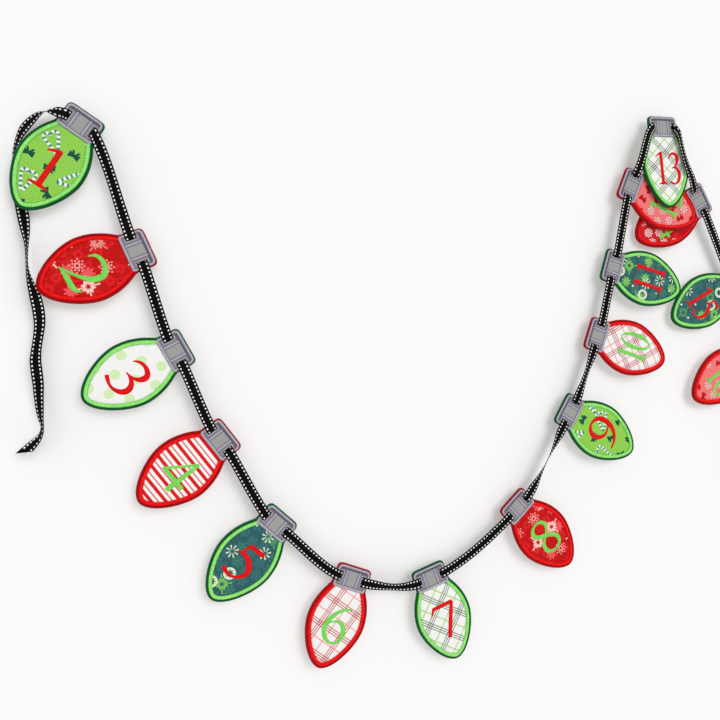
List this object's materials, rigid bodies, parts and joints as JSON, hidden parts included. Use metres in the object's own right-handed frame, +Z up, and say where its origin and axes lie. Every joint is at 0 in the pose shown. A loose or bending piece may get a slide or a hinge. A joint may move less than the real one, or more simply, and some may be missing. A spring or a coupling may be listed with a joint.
{
  "type": "advent calendar banner",
  "caption": "Padded fabric light bulbs with numbers, threaded through slits in their caps on one stitched ribbon that hangs in two swags.",
  "frame": {"origin": "middle of the thirteenth bulb's cap, between its two slits, where the centre hook holds the ribbon", "axes": "+X along the wall to the right, +Y back into the wall, +Z up"},
  "size_m": [1.3096, 0.0194, 0.5397],
  "materials": {
    "lime_cotton": "printed quilting cotton, satin-stitched edges",
    "red_cotton": "printed quilting cotton, satin-stitched edges",
    "white_cotton": "printed quilting cotton, satin-stitched edges",
    "teal_cotton": "printed quilting cotton, satin-stitched edges",
    "rose_cotton": "printed quilting cotton, satin-stitched edges",
    "grey_cap_cotton": "plain cotton applique with satin-stitched frame",
    "black_grosgrain": "matt grosgrain with saddle stitches"
  },
  "bodies": {
    "ribbon_line": {"ribbon": "black_grosgrain", "ribbon_tail_left": "black_grosgrain", "ribbon_tail_right": "black_grosgrain"},
    "hanging_bulb_01": {"bulb_01": "lime_cotton", "cap_01": "grey_cap_cotton"},
    "hanging_bulb_02": {"bulb_02": "red_cotton", "cap_02": "grey_cap_cotton"},
    "hanging_bulb_03": {"bulb_03": "white_cotton", "cap_03": "grey_cap_cotton"},
    "hanging_bulb_04": {"bulb_04": "white_cotton", "cap_04": "grey_cap_cotton"},
    "hanging_bulb_05": {"bulb_05": "teal_cotton", "cap_05": "grey_cap_cotton"},
    "hanging_bulb_06": {"bulb_06": "white_cotton", "cap_06": "grey_cap_cotton"},
    "hanging_bulb_07": {"bulb_07": "white_cotton", "cap_07": "grey_cap_cotton"},
    "hanging_bulb_08": {"bulb_08": "red_cotton", "cap_08": "grey_cap_cotton"},
    "hanging_bulb_09": {"bulb_09": "lime_cotton", "cap_09": "grey_cap_cotton"},
    "hanging_bulb_10": {"bulb_10": "white_cotton", "cap_10": "grey_cap_cotton"},
    "hanging_bulb_11": {"bulb_11": "teal_cotton", "cap_11": "grey_cap_cotton"},
    "hanging_bulb_12": {"bulb_12": "rose_cotton", "cap_12": "grey_cap_cotton"},
    "hanging_bulb_13": {"bulb_13": "white_cotton", "cap_13": "grey_cap_cotton"},
    "hanging_bulb_14": {"bulb_14": "red_cotton", "cap_14": "grey_cap_cotton"},
    "hanging_bulb_15": {"bulb_15": "teal_cotton", "cap_15": "grey_cap_cotton"},
    "hanging_bulb_16": {"bulb_16": "rose_cotton", "cap_16": "grey_cap_cotton"},
    "hanging_bulb_17": {"bulb_17": "white_cotton", "cap_17": "grey_cap_cotton"},
    "hanging_bulb_18": {"bulb_18": "white_cotton", "cap_18": "grey_cap_cotton"},
    "hanging_bulb_19": {"bulb_19": "lime_cotton", "cap_19": "grey_cap_cotton"},
    "hanging_bulb_20": {"bulb_20": "red_cotton", "cap_20": "grey_cap_cotton"},
    "hanging_bulb_21": {"bulb_21": "white_cotton", "cap_21": "grey_cap_cotton"},
    "hanging_bulb_22": {"bulb_22": "white_cotton", "cap_22": "grey_cap_cotton"},
    "hanging_bulb_23": {"bulb_23": "teal_cotton", "cap_23": "grey_cap_cotton"},
    "hanging_bulb_24": {"bulb_24": "rose_cotton", "cap_24": "grey_cap_cotton"},
    "hanging_bulb_25": {"bulb_25": "white_cotton", "cap_25": "grey_cap_cotton"}
  },
  "joints": [
    {"name": "bulb_01_swing", "type": "hinge", "parent": "ribbon_line", "child": "hanging_bulb_01", "pos_m": [-0.58058, 0, 0], "axis": [-0.7912, 0, 0.6115], "range_deg": [0, 110], "deforming": ["ribbon"]},
    {"name": "bulb_02_swing", "type": "hinge", "parent": "ribbon_line", "child": "hanging_bulb_02", "pos_m": [-0.54405, 0, -0.10838], "axis": [-0.3322, 0, 0.9432], "range_deg": [0, 110], "deforming": ["ribbon"]},
    {"name": "bulb_03_swing", "type": "hinge", "parent": "ribbon_line", "child": "hanging_bulb_03", "pos_m": [-0.51959, 0, -0.19752], "axis": [-0.4115, 0, 0.9114], "range_deg": [0, 110], "deforming": ["ribbon"]},
    {"name": "bulb_04_swing", "type": "hinge", "parent": "ribbon_line", "child": "hanging_bulb_04", "pos_m": [-0.48755, 0, -0.28012], "axis": [-0.5344, 0, 0.8453], "range_deg": [0, 110], "deforming": ["ribbon"]},
    {"name": "bulb_05_swing", "type": "hinge", "parent": "ribbon_line", "child": "hanging_bulb_05", "pos_m": [-0.44387, 0, -0.36227], "axis": [-0.6807, 0, 0.7325], "range_deg": [0, 110], "deforming": ["ribbon"]},
    {"name": "bulb_06_swing", "type": "hinge", "parent": "ribbon_line", "child": "hanging_bulb_06", "pos_m": [-0.37746, 0, -0.42476], "axis": [-0.8996, 0, 0.4368], "range_deg": [0, 110], "deforming": ["ribbon"]},
    {"name": "bulb_07_swing", "type": "hinge", "parent": "ribbon_line", "child": "hanging_bulb_07", "pos_m": [-0.29882, 0, -0.437], "axis": [-0.9668, 0, -0.2554], "range_deg": [0, 110], "deforming": ["ribbon"]},
    {"name": "bulb_08_swing", "type": "hinge", "parent": "ribbon_line", "child": "hanging_bulb_08", "pos_m": [-0.20038, 0, -0.38106], "axis": [-0.7694, 0, -0.6388], "range_deg": [0, 110], "deforming": ["ribbon"]},
    {"name": "bulb_09_swing", "type": "hinge", "parent": "ribbon_line", "child": "hanging_bulb_09", "pos_m": [-0.13398, 0, -0.29148], "axis": [-0.5678, 0, -0.8231], "range_deg": [0, 110], "deforming": ["ribbon"]},
    {"name": "bulb_10_swing", "type": "hinge", "parent": "ribbon_line", "child": "hanging_bulb_10", "pos_m": [-0.09553, 0, -0.215], "axis": [-0.3923, 0, -0.9198], "range_deg": [0, 110], "deforming": ["ribbon"]},
    {"name": "bulb_11_swing", "type": "hinge", "parent": "ribbon_line", "child": "hanging_bulb_11", "pos_m": [-0.07136, 0, -0.14486], "axis": [-0.3518, 0, -0.9361], "range_deg": [0, 110], "deforming": ["ribbon"]},
    {"name": "bulb_12_swing", "type": "hinge", "parent": "ribbon_line", "child": "hanging_bulb_12", "pos_m": [-0.04369, 0, -0.06096], "axis": [-0.4478, 0, -0.8942], "range_deg": [0, 1], "deforming": ["ribbon"]},
    {"name": "bulb_13_swing", "type": "hinge", "parent": "ribbon_line", "child": "hanging_bulb_13", "pos_m": [0, 0, 0], "axis": [-0.9994, 0, 0.0349], "range_deg": [0, 8], "deforming": ["ribbon"]},
    {"name": "bulb_14_swing", "type": "hinge", "parent": "ribbon_line", "child": "hanging_bulb_14", "pos_m": [0.04194, 0.0018, -0.07844], "axis": [-0.4321, 0, 0.9018], "range_deg": [0, 1], "deforming": ["ribbon"]},
    {"name": "bulb_15_swing", "type": "hinge", "parent": "ribbon_line", "child": "hanging_bulb_15", "pos_m": [0.08097, 0.00396, -0.17152], "axis": [-0.3907, 0, 0.9205], "range_deg": [0, 110], "deforming": ["ribbon"]},
    {"name": "bulb_16_swing", "type": "hinge", "parent": "ribbon_line", "child": "hanging_bulb_16", "pos_m": [0.09699, 0.0018, -0.25202], "axis": [-0.4695, 0, 0.8829], "range_deg": [0, 110], "deforming": ["ribbon"]},
    {"name": "bulb_17_swing", "type": "hinge", "parent": "ribbon_line", "child": "hanging_bulb_17", "pos_m": [0.143, 0, -0.33098], "axis": [-0.6018, 0, 0.7986], "range_deg": [0, 110], "deforming": ["ribbon"]},
    {"name": "bulb_18_swing", "type": "hinge", "parent": "ribbon_line", "child": "hanging_bulb_18", "pos_m": [0.21844, 0, -0.39129], "axis": [-0.8192, 0, 0.5736], "range_deg": [0, 110], "deforming": ["ribbon"]},
    {"name": "bulb_19_swing", "type": "hinge", "parent": "ribbon_line", "child": "hanging_bulb_19", "pos_m": [0.29882, 0, -0.437], "axis": [-0.9668, 0, 0.2554], "range_deg": [0, 110], "deforming": ["ribbon"]},
    {"name": "bulb_20_swing", "type": "hinge", "parent": "ribbon_line", "child": "hanging_bulb_20", "pos_m": [0.37746, 0, -0.42476], "axis": [-0.8996, 0, -0.4368], "range_deg": [0, 110], "deforming": ["ribbon"]},
    {"name": "bulb_21_swing", "type": "hinge", "parent": "ribbon_line", "child": "hanging_bulb_21", "pos_m": [0.44387, 0, -0.36227], "axis": [-0.6807, 0, -0.7325], "range_deg": [0, 110], "deforming": ["ribbon"]},
    {"name": "bulb_22_swing", "type": "hinge", "parent": "ribbon_line", "child": "hanging_bulb_22", "pos_m": [0.48755, 0, -0.28012], "axis": [-0.5344, 0, -0.8453], "range_deg": [0, 110], "deforming": ["ribbon"]},
    {"name": "bulb_23_swing", "type": "hinge", "parent": "ribbon_line", "child": "hanging_bulb_23", "pos_m": [0.51959, 0, -0.19752], "axis": [-0.4115, 0, -0.9114], "range_deg": [0, 110], "deforming": ["ribbon"]},
    {"name": "bulb_24_swing", "type": "hinge", "parent": "ribbon_line", "child": "hanging_bulb_24", "pos_m": [0.54405, 0, -0.10838], "axis": [-0.3322, 0, -0.9432], "range_deg": [0, 110], "deforming": ["ribbon"]},
    {"name": "bulb_25_swing", "type": "hinge", "parent": "ribbon_line", "child": "hanging_bulb_25", "pos_m": [0.58058, 0, 0], "axis": [-0.7912, 0, -0.6115], "range_deg": [0, 110], "deforming": ["ribbon"]}
  ]
}
